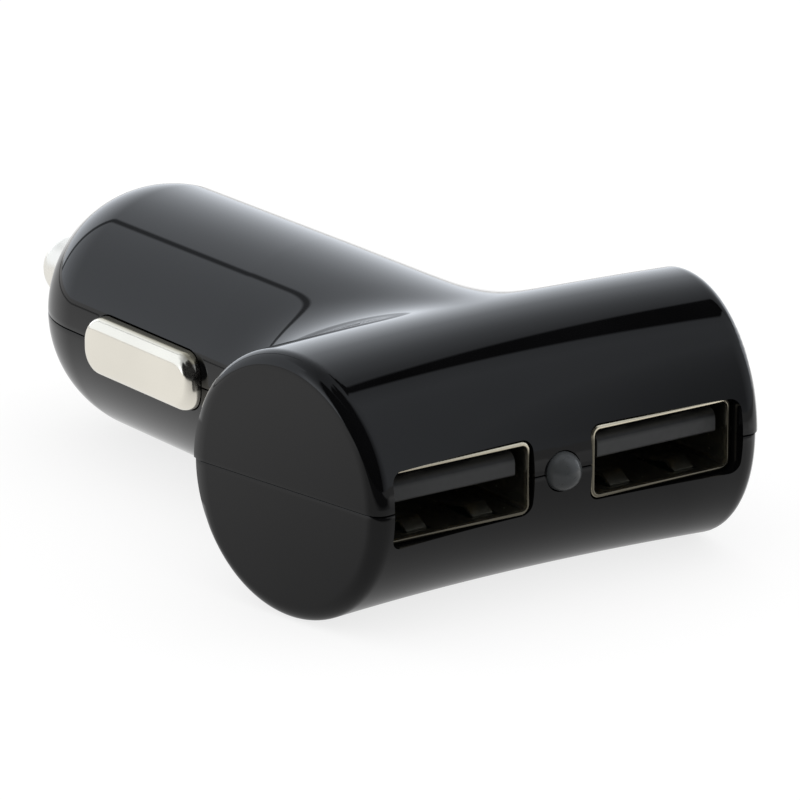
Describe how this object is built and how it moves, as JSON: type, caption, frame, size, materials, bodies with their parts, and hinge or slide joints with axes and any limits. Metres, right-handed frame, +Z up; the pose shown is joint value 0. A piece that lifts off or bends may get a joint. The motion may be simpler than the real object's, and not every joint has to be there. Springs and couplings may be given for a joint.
{
  "type": "car usb charger plug",
  "caption": "T-shaped plug for a car's 12 volt socket: a bent round head with a pair of charging ports beside a status lamp, on a barrel with sprung side contacts and a sprung tip.",
  "frame": {"origin": "on the plug's axis, in the middle of the barrel's plain cylindrical land behind the side contacts", "axes": "+Y along the plug's axis to its tip, +X along the head, +Z up, with the housing's parting plane at Z = 0"},
  "size_m": [0.0408, 0.0686, 0.0204],
  "materials": {
    "housing": "gloss",
    "nickel": "polished",
    "port_steel": "satin",
    "port_black": "satin",
    "lamp_lens": "gloss",
    "spring_steel": "satin",
    "spring_bronze": "satin",
    "terminal_brass": "satin",
    "contact_gold": "polished",
    "tinned_lead": "satin",
    "board": "satin",
    "capacitor_can": "satin",
    "package_black": "matte",
    "package_tan": "matte",
    "ferrite": "matte",
    "copper_wire": "gloss"
  },
  "bodies": {
    "housing": {"upper_shell": "housing", "lower_shell": "housing", "usb_shell_left": "port_steel", "usb_shell_right": "port_steel", "usb_insulator_left": "port_black", "usb_insulator_right": "port_black", "status_led": "lamp_lens", "tip_spring": "spring_steel", "positive_terminal": "terminal_brass", "side_spring_left": "spring_bronze", "side_spring_right": "spring_bronze", "usb_pins_left": "contact_gold", "usb_pins_right": "contact_gold", "led_leads": "tinned_lead", "circuit_board": "board", "output_capacitor": "capacitor_can", "input_capacitor": "capacitor_can", "converter_chip": "package_black", "inductor_core": "ferrite", "inductor_winding": "copper_wire", "rectifier_diode": "package_black", "chip_resistors": "package_black", "chip_capacitors": "package_tan", "input_fuse": "package_tan"},
    "tip": {"tip_contact": "nickel"},
    "left_contact": {"side_contact_left": "nickel"},
    "right_contact": {"side_contact_right": "nickel"}
  },
  "joints": [
    {"name": "tip_press", "type": "slide", "parent": "housing", "child": "tip", "axis": [0, -1, 0], "range_m": [0, 0.005], "stiffness_N_per_m": 900, "springref_m": -0.004, "deforming": ["tip_spring"]},
    {"name": "left_contact_press", "type": "slide", "parent": "housing", "child": "left_contact", "axis": [1, 0, 0], "range_m": [0, 0.0012], "stiffness_N_per_m": 2500, "springref_m": -0.0008, "deforming": ["side_spring_left"]},
    {"name": "right_contact_press", "type": "slide", "parent": "housing", "child": "right_contact", "axis": [-1, 0, 0], "range_m": [0, 0.0012], "stiffness_N_per_m": 2500, "springref_m": -0.0008, "deforming": ["side_spring_right"]}
  ]
}
